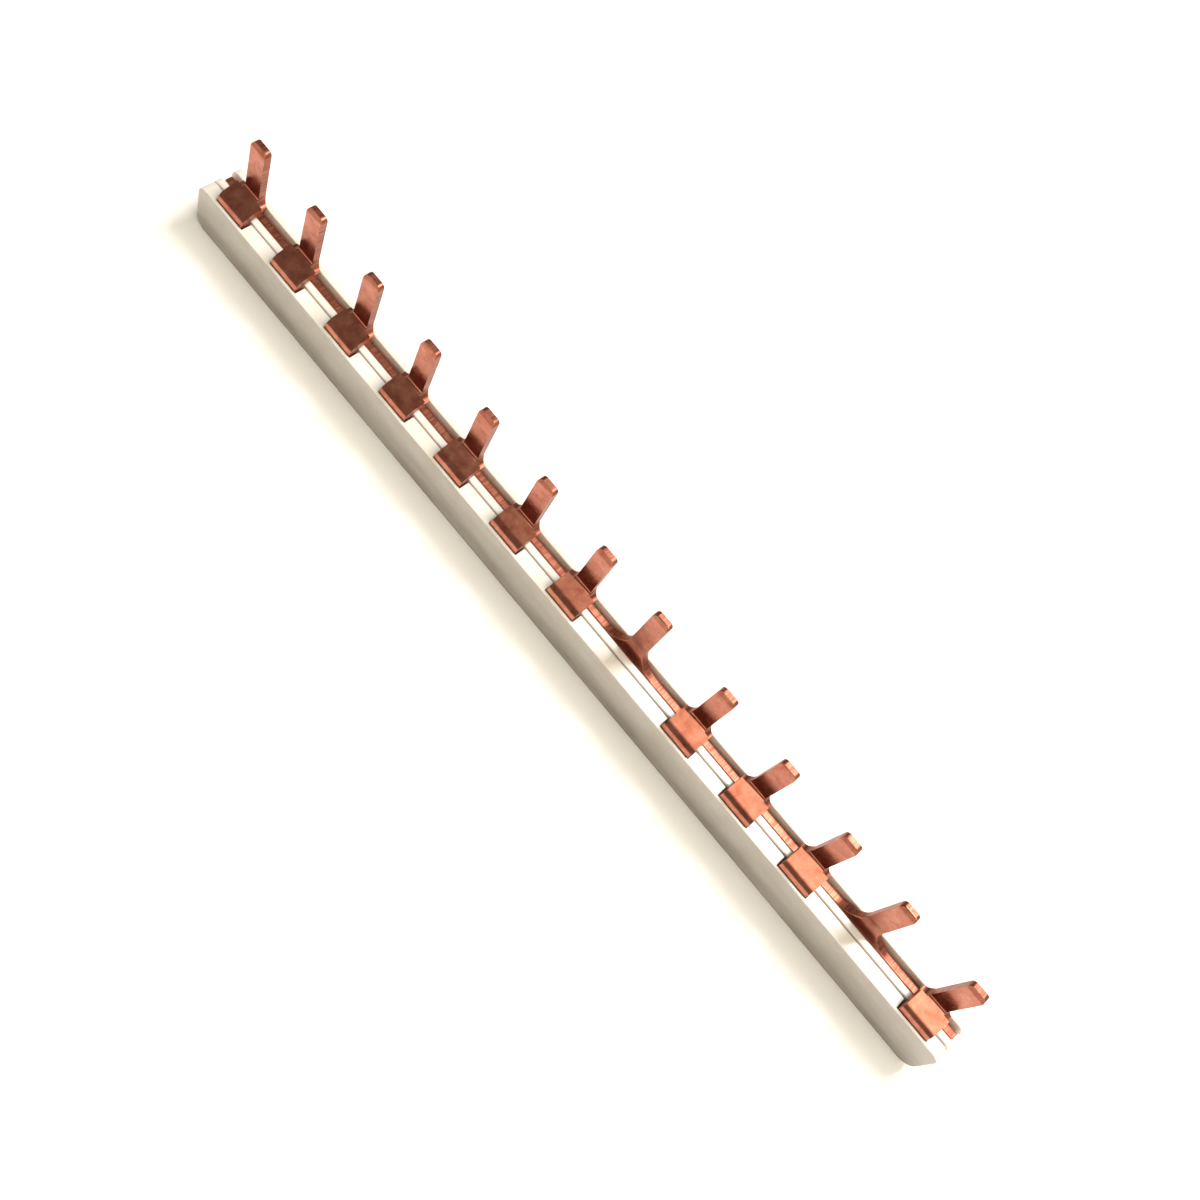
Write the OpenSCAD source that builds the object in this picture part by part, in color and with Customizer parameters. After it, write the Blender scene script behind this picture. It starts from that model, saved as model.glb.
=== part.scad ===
// Two-pole comb busbar: a white plastic rail that holds two copper combs.
// X runs along the rail, Y from its front face to its rear face, Z up to the teeth.
// The origin is the centre of the rail's underside. Millimetres.

/* [Teeth] */
// Number of teeth along the busbar
tooth_count = 13; // [4:1:14]
// Distance from one tooth to the next, one device module
pitch = 17.8; // [16:0.1:27]
// Teeth that stand on the rear comb, counted from the left end
rear_teeth = [8, 12]; // [2:1:13]
// Width of a tooth
tooth_w = 4.4; // [3:0.1:6]
// Height of the tooth tips above the top of the rail
tooth_rise = 17.8; // [13:0.1:24]
// Depth of the lead-in bevel on the front of a tip
tip_bevel_d = 0.6; // [0.2:0.1:1]
// Height of the lead-in bevel on the front of a tip
tip_bevel_h = 1.1; // [0.3:0.1:2]
// Radius of the two corners of a tip
tip_corner_r = 1; // [0.2:0.1:1.4]

/* [Combs] */
// Thickness of the copper sheet
copper_t = 1.8; // [1.2:0.1:2.2]
// Depth of the strips' top edges below the top of the rail
strip_recess = 1.7; // [1.5:0.1:4]
// How far each strip stops short of the rail's ends
strip_inset = 0.5; // [0.2:0.1:2]
// Sideways offset of the rear comb's teeth from the pitch of the front comb
rear_tooth_shift = -1.3; // [-1.5:0.1:1.5]
// Radius that blends a rear tooth into its strip
web_r = 6; // [2:0.1:6.4]

/* [Cranked tabs] */
// Width of the tab that carries a front tooth over to the tooth row
tab_w = 8; // [7:0.1:9.5]
// Rise of the tab towards the tooth row, in degrees
tab_slope = 17; // [8:1:25]
// Height of the tab's first bend centre above the top of the rail
tab_lift = 0.2; // [0.1:0.1:1.5]
// Inner radius of the bend from leg to tab
leg_bend_r = 0.6; // [0.4:0.1:1]
// Inner radius of the bend from tab to tooth
tooth_bend_r = 0.8; // [0.4:0.1:1.2]

/* [Rail] */
// Height of the rail
rail_h = 12.8; // [11:0.1:18]
// Distance from an outer tooth to the rail's end
end_margin = 8.9; // [7:0.1:20]
// Thickness of the floor under the strips
floor_t = 1.5; // [1:0.1:1.8]
// Thickness of the rib between the two strips, at its top
rib_t = 1.65; // [1:0.05:1.9]
// Thickness of the rear wall, at its top
rear_wall_t = 1.65; // [1:0.05:3]
// Distance from the strip's front face to the rib, at the slot's mouth
mouth_front = 0.95; // [0.5:0.05:1.2]
// Distance from the strip's rear face to the rear wall, at the slot's mouth
mouth_rear = 0.45; // [0.3:0.05:1]
// Depth of the wider mouth above the snug lower part of the slot
mouth_h = 3; // [2:0.1:4]
// Clearance on each face of a strip in the snug part of its slot
strip_gap = 0.1; // [0.05:0.05:0.2]
// Radius of the rail's lower corners, seen from the front
end_low_r = 3; // [0.5:0.1:4]
// Radius of the rail's upper corners, seen from the front
end_top_r = 2; // [0.3:0.1:4]
// Radius of the rounded long edges
edge_r = 0.3; // [0.1:0.05:0.5]

/* [Front cover] */
// Thickness of the cover's front wall
cover_wall_t = 0.7; // [0.5:0.05:1.2]
// Thickness of the lip that closes the front slot
cover_lip_t = 1; // [0.6:0.1:1.4]
// Depth of the lip from the front face to the seam
cover_lip_d = 3.2; // [3:0.05:4]
// Width of the seam between the lip and the rib
seam_w = 0.42; // [0.1:0.02:0.6]
// Clearance on each side of a tab in its notch
notch_gap = 0.3; // [0.2:0.05:0.8]
// Height of the bead that clips the cover to the floor
bead_h = 0.5; // [0.3:0.05:0.6]
// Reach of the bead into the floor
bead_d = 0.3; // [0.2:0.05:0.5]

/* [Hidden] */
$fn = 64;

// Along the rail
rail_l = (tooth_count - 1) * pitch + 2 * end_margin;
first_x = -(tooth_count - 1) * pitch / 2;

// From front to rear, first counted from the front face, then moved to the rail's middle
front_strip_d = cover_wall_t + strip_gap;
rib_d = cover_lip_d + seam_w;
rear_strip_d = rib_d + rib_t + mouth_front;
rear_wall_d = rear_strip_d + copper_t + mouth_rear;
rail_d = rear_wall_d + rear_wall_t;
front_y = -rail_d / 2;
front_strip_y = front_y + front_strip_d;
rear_strip_y = front_y + rear_strip_d;

// Up the rail
strip_top = rail_h - strip_recess;
strip_h = strip_top - floor_t;
mouth_z = rail_h - mouth_h;
tip_z = rail_h + tooth_rise;

// Side view of a cranked tab: leg bend, sloping plate, bend up into the tooth
leg_c = [front_strip_y + copper_t + leg_bend_r, rail_h + tab_lift];
plate_run = rear_strip_y - tooth_bend_r * (1 - sin(tab_slope))
    - leg_c.x + (leg_bend_r + copper_t) * sin(tab_slope);
plate_l = plate_run / cos(tab_slope);
plate_start = leg_c + (leg_bend_r + copper_t) * [-sin(tab_slope), cos(tab_slope)];
plate_end = plate_start + plate_l * [cos(tab_slope), sin(tab_slope)];
tooth_c = plate_end + tooth_bend_r * [-sin(tab_slope), cos(tab_slope)];
neck_r = (tab_w - tooth_w) / 2;

// Side view of a tip, from its bevelled front over to its rear
tip_points = [
    [rear_strip_y, tip_z - tip_bevel_h],
    [rear_strip_y + tip_bevel_d, tip_z],
    [rear_strip_y + copper_t, tip_z]
];

// Room past a solid for the tools that cut it
over = 1;

function tooth_x(k) = first_x + (k - 1) * pitch;
function on_rear(k) = len([for (r = rear_teeth) if (r == k) r]) > 0;
function front_tooth_places() = [for (k = [1 : tooth_count]) if (!on_rear(k)) tooth_x(k)];
function rear_tooth_places() = [for (k = [1 : tooth_count]) if (on_rear(k)) tooth_x(k) + rear_tooth_shift];

// Extrudes a section drawn in Y and Z along X
module along_x(length) rotate([90, 0, 90]) linear_extrude(length, center = true) children();

// Extrudes a front view drawn in X and Z backwards from the plane y
module along_y(y, length) translate([0, y + length, 0]) rotate([90, 0, 0]) linear_extrude(length) children();

function polar(r, angle) = r * [cos(angle), sin(angle)];

// Sector of a disc around c, from angle a0 to angle a1
module sector(c, r, a0, a1) {
    reach = 2 * r;
    translate(c) intersection() {
        circle(r);
        polygon([[0, 0], polar(reach, a0), polar(reach, (a0 + a1) / 2), polar(reach, a1)]);
    }
}

// Rectangle from y0 to y1 and z0 to z1 whose two upper corners are rounded
module crowned(y0, y1, z0, z1, r) {
    translate([y0, z0]) square([y1 - y0, z1 - z0 - r]);
    translate([y0 + r, z0]) square([y1 - y0 - 2 * r, z1 - z0]);
    for (y = [y0 + r, y1 - r]) translate([y, z1 - r]) circle(r);
}

// Front view of the rail with its rounded ends, drawn in by a margin
module rail_front_view(inset) {
    half = rail_l / 2 - inset;
    low_r = max(end_low_r - inset, 0.1);
    top_r = max(end_top_r - inset, 0.1);
    translate([-half, low_r]) square([2 * half, rail_h - low_r - top_r]);
    translate([-half + low_r, 0]) square([2 * half - 2 * low_r, rail_h - top_r]);
    translate([-half + top_r, low_r]) square([2 * half - 2 * top_r, rail_h - low_r]);
    for (side = [-1, 1]) {
        translate([side * (half - low_r), low_r]) circle(low_r);
        translate([side * (half - top_r), rail_h - top_r]) circle(top_r);
    }
}

// Section of the rail: floor, rib and rear wall around two stepped slots
module rail_section() {
    floor_y = front_y + cover_wall_t;
    rear_y = front_y + rail_d;
    difference() {
        translate([floor_y, 0]) square([rear_y - floor_y, floor_t]);
        translate([floor_y, (floor_t - bead_h) / 2]) square([bead_d, bead_h]);
    }
    translate([front_strip_y + copper_t + strip_gap, 0])
        square([rear_strip_d - front_strip_d - copper_t - 2 * strip_gap, mouth_z]);
    translate([rear_strip_y + copper_t + strip_gap, 0])
        square([rear_y - rear_strip_y - copper_t - strip_gap, mouth_z]);
    crowned(front_y + rib_d, front_y + rib_d + rib_t, 0, rail_h, edge_r);
    crowned(front_y + rear_wall_d, rear_y, 0, rail_h, edge_r);
}

module rail() {
    color("white") intersection() {
        along_x(rail_l) rail_section();
        along_y(front_y - over, rail_d + 2 * over) rail_front_view(0);
    }
}

// Section of the cover: front wall, lip over the front slot and clip bead
module cover_section() {
    translate([front_y, 0]) square([cover_wall_t, rail_h - edge_r]);
    translate([front_y + edge_r, rail_h - edge_r]) circle(edge_r);
    translate([front_y + edge_r, rail_h - cover_lip_t]) square([cover_lip_d - edge_r, cover_lip_t]);
    translate([front_y, (floor_t - bead_h) / 2]) square([cover_wall_t + bead_d, bead_h]);
}

module front_cover() {
    notch_w = tab_w + 2 * notch_gap;
    color("white") difference() {
        intersection() {
            along_x(rail_l) cover_section();
            along_y(front_y - over, cover_lip_d + 2 * over) rail_front_view(0);
        }
        for (x = front_tooth_places())
            translate([x - notch_w / 2, front_y + cover_wall_t, rail_h - cover_lip_t - over])
                cube([notch_w, cover_lip_d, cover_lip_t + 2 * over]);
    }
}

// Strip with rounded ends, front face in the plane y
module strip(y) {
    intersection() {
        translate([-rail_l / 2, y, floor_t]) cube([rail_l, copper_t, strip_h]);
        along_y(y - over, copper_t + 2 * over) rail_front_view(strip_inset);
    }
}

// Front view of a tooth on its flared root, which is widest at height z0
module tooth_front_view(z0, root_r) {
    foot = tooth_w / 2 + root_r;
    crowned(-tooth_w / 2, tooth_w / 2, z0 - over, tip_z, tip_corner_r);
    difference() {
        translate([-foot, z0 - over]) square([2 * foot, root_r + over]);
        for (side = [-1, 1]) translate([side * foot, z0 + root_r]) circle(root_r);
    }
}

// Side view of a cranked tab: leg, bend, sloping plate and the bend up into the tooth.
// The outline runs straight from bend to bend, and discs add or cut what is round.
module tab_side_view() {
    across = polar(copper_t, tab_slope - 90);
    difference() {
        union() {
            polygon([
                [front_strip_y, strip_top - over],
                [front_strip_y, leg_c.y],
                plate_start,
                plate_end,
                [rear_strip_y, tooth_c.y],
                each tip_points,
                [rear_strip_y + copper_t, tooth_c.y],
                plate_end + across,
                plate_start + across,
                [front_strip_y + copper_t, leg_c.y],
                [front_strip_y + copper_t, strip_top - over]
            ]);
            sector(leg_c, leg_bend_r + copper_t, 90 + tab_slope, 180);
            sector(tooth_c, tooth_bend_r + copper_t, 270 + tab_slope, 360);
        }
        translate(leg_c) circle(leg_bend_r);
        translate(tooth_c) circle(tooth_bend_r);
    }
}

// One tab with its tooth: the whole side view at the tab's width, cut down to the tooth behind the plate
module cranked_tooth() {
    root_z = tooth_c.y - neck_r;
    difference() {
        along_x(tab_w) tab_side_view();
        along_y(plate_end.x, rail_d) difference() {
            translate([-tab_w, root_z]) square([2 * tab_w, tip_z - root_z + over]);
            tooth_front_view(root_z, neck_r);
        }
    }
}

module front_comb() {
    color("peru") {
        strip(front_strip_y);
        for (x = front_tooth_places()) translate([x, 0, 0]) cranked_tooth();
    }
}

// Straight tooth on its web
module straight_tooth() {
    intersection() {
        along_x(2 * pitch) polygon([
            [rear_strip_y, strip_top - over],
            each tip_points,
            [rear_strip_y + copper_t, strip_top - over]
        ]);
        along_y(rear_strip_y - over, copper_t + 2 * over) tooth_front_view(strip_top, web_r);
    }
}

module rear_comb() {
    color("peru") {
        strip(rear_strip_y);
        for (x = rear_tooth_places()) translate([x, 0, 0]) straight_tooth();
    }
}

rail();
front_cover();
front_comb();
rear_comb();
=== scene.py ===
"""Two-pole comb busbar: finishes, floor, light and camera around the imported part."""

import math

import bmesh
import bpy
from mathutils import Matrix, Vector


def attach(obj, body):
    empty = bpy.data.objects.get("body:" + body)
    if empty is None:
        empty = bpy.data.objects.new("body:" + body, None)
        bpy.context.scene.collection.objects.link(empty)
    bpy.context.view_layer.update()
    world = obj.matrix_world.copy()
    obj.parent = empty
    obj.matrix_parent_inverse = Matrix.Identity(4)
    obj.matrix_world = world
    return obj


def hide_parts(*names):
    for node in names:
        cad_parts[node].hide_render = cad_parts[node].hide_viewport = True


MM = 0.001

# Sizes of the surface patterns, in millimetres
ROLLING_LINE = 0.3
TARNISH_PATCH = 2.5
SHEAR_MARK = 0.4
DIE_LINE = 0.8
YELLOW_CLOUD = 6
# Streaks of the painted shade on the front faces of the PVC
SHADE_STREAK = 5
FLOOR_GRAIN = 2

ROUNDED_ABOVE = math.radians(35)
ROUNDING_STEPS = 3
SHADED_SHARP_ABOVE = math.radians(30)

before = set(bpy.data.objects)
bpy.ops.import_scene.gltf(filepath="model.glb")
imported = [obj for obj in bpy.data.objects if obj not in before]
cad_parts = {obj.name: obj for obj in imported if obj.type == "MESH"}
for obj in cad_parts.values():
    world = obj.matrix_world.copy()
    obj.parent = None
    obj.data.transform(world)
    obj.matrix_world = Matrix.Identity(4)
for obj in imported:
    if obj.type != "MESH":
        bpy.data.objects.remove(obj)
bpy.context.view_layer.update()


def linear(hex_colour):
    """sRGB hex to the linear colour, with alpha, that Blender's sockets take."""
    channels = [int(hex_colour[i : i + 2], 16) / 255 for i in (1, 3, 5)]
    return [c / 12.92 if c <= 0.04045 else ((c + 0.055) / 1.055) ** 2.4 for c in channels] + [1.0]


def add_node(owner, kind, settings=None, **links):
    """Adds a node to a material or to the world. A setting that names a socket fills it, any other sets a property.
    A link names a socket, or its number after an underscore, and gives the socket that it reads from."""
    node = owner.node_tree.nodes.new(kind)
    for name, value in (settings or {}).items():
        if name in node.inputs:
            node.inputs[name].default_value = value
        else:
            setattr(node, name, value)
    for name, source in links.items():
        socket = node.inputs[int(name[1:])] if name[1:].isdigit() else node.inputs[name.replace("_", " ")]
        owner.node_tree.links.new(source, socket)
    return node


def blank_material(name):
    material = bpy.data.materials.new(name)
    material.use_nodes = True
    material.node_tree.nodes.clear()
    return material


# ---- finishes ----
def rolled_copper():
    """Half-hard rolled copper, stamped, sheared and bent. Rolled faces mirror their surroundings through fine lines
    and a thin brown tarnish. Sheared edges are duller and darker, with marks across the sheet."""
    m = blank_material("rolled_copper_sheet")
    where = add_node(m, "ShaderNodeTexCoord").outputs["Object"]
    # Rolling lines run along the busbar. Real ones are about 0.05 mm apart, and are drawn coarser so that they show
    along = add_node(m, "ShaderNodeMapping", {"Scale": (0.05, 1, 1)}, Vector=where).outputs[0]
    lines = add_node(m, "ShaderNodeTexNoise", {"Scale": 1 / (ROLLING_LINE * MM), "Detail": 3}, Vector=along).outputs[0]
    # Tarnish and handling marks lie in patches of 2 to 3 mm
    patches = add_node(
        m,
        "ShaderNodeTexNoise",
        {"Scale": 1 / (TARNISH_PATCH * MM), "Detail": 6, "Roughness": 0.65},
        Vector=where,
    ).outputs[0]
    tint = add_node(m, "ShaderNodeValToRGB", Fac=patches)
    tint.color_ramp.elements[0].position = 0.32
    tint.color_ramp.elements[0].color = linear("#A8604E")
    tint.color_ramp.elements[1].position = 0.68
    tint.color_ramp.elements[1].color = linear("#CC8872")
    # A sheared edge faces along the busbar, up or down. A rolled face looks to the front or the rear, and does so by
    # 17 degrees on the sloping tabs, which have the flattest ones
    shape = add_node(m, "ShaderNodeNewGeometry")
    facing = add_node(m, "ShaderNodeSeparateXYZ", None, Vector=shape.outputs["True Normal"])
    sideways = add_node(m, "ShaderNodeMath", {"operation": "ABSOLUTE"}, _0=facing.outputs["Y"]).outputs[0]
    sheared = add_node(
        m,
        "ShaderNodeMapRange",
        {"From Min": 0.05, "From Max": 0.2, "To Min": 1.0, "To Max": 0.0},
        Value=sideways,
    ).outputs[0]
    # Shear marks cross the sheet
    across = add_node(m, "ShaderNodeMapping", {"Scale": (1, 0.1, 1)}, Vector=where).outputs[0]
    marks = add_node(m, "ShaderNodeTexNoise", {"Scale": 1 / (SHEAR_MARK * MM), "Detail": 2}, Vector=across).outputs[0]
    edge_tint = add_node(m, "ShaderNodeValToRGB", Fac=marks)
    edge_tint.color_ramp.elements[0].position = 0.35
    edge_tint.color_ramp.elements[0].color = linear("#7E4636")
    edge_tint.color_ramp.elements[1].position = 0.65
    edge_tint.color_ramp.elements[1].color = linear("#A86C58")
    colour = add_node(
        m, "ShaderNodeMix", {"data_type": "RGBA"}, _0=sheared, _6=tint.outputs[0], _7=edge_tint.outputs[0]
    ).outputs[2]
    dull = add_node(m, "ShaderNodeMapRange", {"To Min": 0.12, "To Max": 0.26}, Value=patches).outputs[0]
    roughness = add_node(m, "ShaderNodeMix", {"data_type": "FLOAT", "B": 0.42}, _0=sheared, _2=dull).outputs[0]
    height = add_node(m, "ShaderNodeMix", {"data_type": "FLOAT"}, _0=sheared, _2=lines, _3=marks).outputs[0]
    relief = add_node(m, "ShaderNodeBump", {"Strength": 0.35, "Distance": 0.012 * MM}, Height=height).outputs[0]
    shader = add_node(
        m, "ShaderNodeBsdfPrincipled", {"Metallic": 1.0}, Base_Color=colour, Roughness=roughness, Normal=relief
    )
    add_node(m, "ShaderNodeOutputMaterial", Surface=shader.outputs[0])
    return m


def rigid_pvc(name, shade_hex):
    """Extruded rigid PVC, white and glossy: the die leaves faint lines along it, and light enters its skin a little.
    Painted shade greys the faces that look to the front, in streaks along the busbar: it stands in for the shade on
    those faces and the floor shadows they reflect."""
    m = blank_material(name)
    where = add_node(m, "ShaderNodeTexCoord").outputs["Object"]
    along = add_node(m, "ShaderNodeMapping", {"Scale": (0.02, 1, 1)}, Vector=where).outputs[0]
    lines = add_node(m, "ShaderNodeTexNoise", {"Scale": 1 / (DIE_LINE * MM), "Detail": 3}, Vector=along).outputs[0]
    # Slight, cloudy yellowing
    clouds = add_node(m, "ShaderNodeTexNoise", {"Scale": 1 / (YELLOW_CLOUD * MM), "Detail": 5}, Vector=where).outputs[0]
    tint = add_node(m, "ShaderNodeValToRGB", Fac=clouds)
    tint.color_ramp.elements[0].position = 0.3
    tint.color_ramp.elements[0].color = linear("#E8E1D6")
    tint.color_ramp.elements[1].position = 0.7
    tint.color_ramp.elements[1].color = linear("#F1EDE6")
    # Painted shade lies on faces that look to the front
    shape = add_node(m, "ShaderNodeNewGeometry")
    facing = add_node(m, "ShaderNodeSeparateXYZ", None, Vector=shape.outputs["Normal"])
    upright = add_node(
        m, "ShaderNodeMapRange", {"From Min": -0.5, "From Max": -0.95}, Value=facing.outputs["Y"]
    ).outputs[0]
    # The painted shade lies in streaks four times as long as they are high, standing in for reflected floor shadows,
    # and is thicker towards the underside, where the shade is deeper
    drawn = add_node(m, "ShaderNodeMapping", {"Scale": (0.25, 1, 1)}, Vector=where).outputs[0]
    streaks = add_node(m, "ShaderNodeTexNoise", {"Scale": 1 / (SHADE_STREAK * MM), "Detail": 3}, Vector=drawn).outputs[0]
    up = add_node(m, "ShaderNodeSeparateXYZ", None, Vector=where).outputs["Z"]
    low = add_node(
        m,
        "ShaderNodeMapRange",
        {"From Min": 10 * MM, "From Max": 2 * MM, "To Min": 0.55, "To Max": 0.95},
        Value=up,
    ).outputs[0]
    patchy = add_node(
        m,
        "ShaderNodeMapRange",
        {"From Min": 0.3, "From Max": 0.7, "To Min": 0.75, "To Max": 1.0},
        Value=streaks,
    ).outputs[0]
    # Painted shade: greys the front faces, more towards the underside and in streaks, in place of shade and reflected
    # shadows
    painted_shade = add_node(m, "ShaderNodeMath", {"operation": "MULTIPLY"}, _0=low, _1=patchy).outputs[0]
    painted_shade = add_node(m, "ShaderNodeMath", {"operation": "MULTIPLY"}, _0=painted_shade, _1=upright).outputs[0]
    colour = add_node(m, "ShaderNodeMix", {"data_type": "RGBA"}, _0=painted_shade, _6=tint.outputs[0])
    colour.inputs[7].default_value = linear(shade_hex)
    dull = add_node(m, "ShaderNodeMapRange", {"To Min": 0.16, "To Max": 0.3}, Value=lines).outputs[0]
    relief = add_node(m, "ShaderNodeBump", {"Strength": 0.25, "Distance": 0.01 * MM}, Height=lines).outputs[0]
    shader = add_node(
        m,
        "ShaderNodeBsdfPrincipled",
        {"IOR": 1.53, "Subsurface Weight": 0.5, "Subsurface Scale": 1.5 * MM, "Subsurface Radius": (1.0, 0.7, 0.6)},
        Base_Color=colour.outputs[2],
        Roughness=dull,
        Normal=relief,
    )
    add_node(m, "ShaderNodeOutputMaterial", Surface=shader.outputs[0])
    return m


def pale_floor():
    """Matt painted board: nearly white, with a grain just strong enough to keep it from looking flat."""
    m = blank_material("pale_floor")
    where = add_node(m, "ShaderNodeTexCoord").outputs["Object"]
    grain = add_node(m, "ShaderNodeTexNoise", {"Scale": 1 / (FLOOR_GRAIN * MM), "Detail": 4}, Vector=where).outputs[0]
    tint = add_node(m, "ShaderNodeValToRGB", Fac=grain)
    tint.color_ramp.elements[0].color = linear("#F7F7F6")
    tint.color_ramp.elements[1].color = linear("#FBFBFA")
    shader = add_node(m, "ShaderNodeBsdfPrincipled", {"Roughness": 0.9}, Base_Color=tint.outputs[0])
    add_node(m, "ShaderNodeOutputMaterial", Surface=shader.outputs[0])
    return m


# ---- the four pieces ----
def dress(node, material, round_mm):
    """Stands for a node of the part with its own shape, its sharp edges rounded over as its making leaves them."""
    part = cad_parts[node]
    shape = bmesh.new()
    shape.from_mesh(part.data)
    bmesh.ops.remove_doubles(shape, verts=shape.verts, dist=1e-6)
    bmesh.ops.dissolve_limit(shape, angle_limit=math.radians(0.5), verts=shape.verts, edges=shape.edges)
    sharp = [edge for edge in shape.edges if edge.is_manifold and edge.calc_face_angle(0) > ROUNDED_ABOVE]
    bmesh.ops.bevel(
        shape,
        geom=sharp,
        offset=round_mm * MM,
        offset_type="OFFSET",
        segments=ROUNDING_STEPS,
        profile=0.5,
        affect="EDGES",
        clamp_overlap=True,
    )
    bmesh.ops.dissolve_degenerate(shape, dist=1e-7, edges=shape.edges)
    mesh = bpy.data.meshes.new(node + "_finished")
    shape.to_mesh(mesh)
    shape.free()
    mesh.materials.append(material)
    mesh.polygons.foreach_set("use_smooth", [True] * len(mesh.polygons))
    mesh.set_sharp_from_angle(angle=SHADED_SHARP_ABOVE)
    piece = bpy.data.objects.new(node + "_finished", mesh)
    bpy.context.scene.collection.objects.link(piece)
    weighted = piece.modifiers.new("shading", "WEIGHTED_NORMAL")
    weighted.keep_sharp = True
    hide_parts(node)
    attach(piece, "root")
    for place in part.material_slots:
        place.material = material


copper = rolled_copper()
# The second colour of each PVC finish is the painted shade on its front-facing faces
dress("rail", rigid_pvc("extruded_rigid_pvc_rail", "#E6DCD2"), 0.12)
dress("front_cover", rigid_pvc("extruded_rigid_pvc_cover", "#8E8276"), 0.1)
dress("front_comb", copper, 0.25)
dress("rear_comb", copper, 0.2)


# ---- floor, light and camera ----
def floor(half_width):
    """A level square under the part, its half width in metres."""
    mesh = bpy.data.meshes.new("floor")
    corners = [(x * half_width, y * half_width, 0) for x, y in ((-1, -1), (1, -1), (1, 1), (-1, 1))]
    mesh.from_pydata(corners, [], [(0, 1, 2, 3)])
    mesh.materials.append(pale_floor())
    obj = bpy.data.objects.new("floor", mesh)
    bpy.context.scene.collection.objects.link(obj)


def soft_light(name, place, aim, size, power):
    """A rectangular soft light. Place, aim and size are in metres, power in watts."""
    lamp = bpy.data.lights.new(name, "AREA")
    lamp.shape = "RECTANGLE"
    lamp.size, lamp.size_y = size
    lamp.energy = power
    obj = bpy.data.objects.new(name, lamp)
    bpy.context.scene.collection.objects.link(obj)
    obj.location = place
    obj.rotation_euler = (Vector(aim) - Vector(place)).to_track_quat("-Z", "Y").to_euler()


def camera(aim_mm, distance_mm, azimuth, elevation, roll, lens):
    """Looks at the aim from an azimuth, counted from straight in front towards the right end, and an elevation.
    Angles are in degrees, the lens in millimetres."""
    data = bpy.data.cameras.new("camera")
    data.sensor_width = 36
    data.lens = lens
    data.clip_start = 0.01
    turn = (
        Matrix.Rotation(math.radians(azimuth), 4, "Z")
        @ Matrix.Rotation(math.radians(90 - elevation), 4, "X")
        @ Matrix.Rotation(math.radians(roll), 4, "Z")
    )
    obj = bpy.data.objects.new("camera", data)
    bpy.context.scene.collection.objects.link(obj)
    obj.matrix_world = Matrix.Translation(Vector(aim_mm) * MM) @ turn @ Matrix.Translation((0, 0, distance_mm * MM))
    bpy.context.scene.camera = obj


def studio(bright_towards, dim, bright, colour_hex):
    """A dim room with one soft bright patch overhead: the light's strength grows towards that direction."""
    world = bpy.data.worlds.new("studio")
    world.use_nodes = True
    bpy.context.scene.world = world
    ground = world.node_tree.nodes["Background"]
    where = add_node(world, "ShaderNodeTexCoord").outputs["Generated"]
    towards = add_node(world, "ShaderNodeVectorMath", {"operation": "DOT_PRODUCT"}, _0=where)
    towards.inputs[1].default_value = Vector(bright_towards).normalized()
    # The patch starts 44 degrees from its middle and is at its full strength 8 degrees from it
    strength = add_node(
        world,
        "ShaderNodeMapRange",
        {"interpolation_type": "SMOOTHSTEP", "From Min": 0.72, "From Max": 0.99, "To Min": dim, "To Max": bright},
        Value=towards.outputs["Value"],
    ).outputs[0]
    ground.inputs["Color"].default_value = linear(colour_hex)
    world.node_tree.links.new(strength, ground.inputs["Strength"])


floor(half_width=4)
studio(bright_towards=(0.5, -0.1, 0.86), dim=0.27, bright=3.2, colour_hex="#FBF2E0")
soft_light("key", place=(0.18, 0.48, 0.86), aim=(0, 0, 0), size=(0.35, 0.35), power=7.6)
bpy.context.scene.view_settings.view_transform = "Standard"
camera(aim_mm=(4.15, 3.71, 12.8), distance_mm=284.4, azimuth=10.81, elevation=61.79, roll=40.2, lens=42)
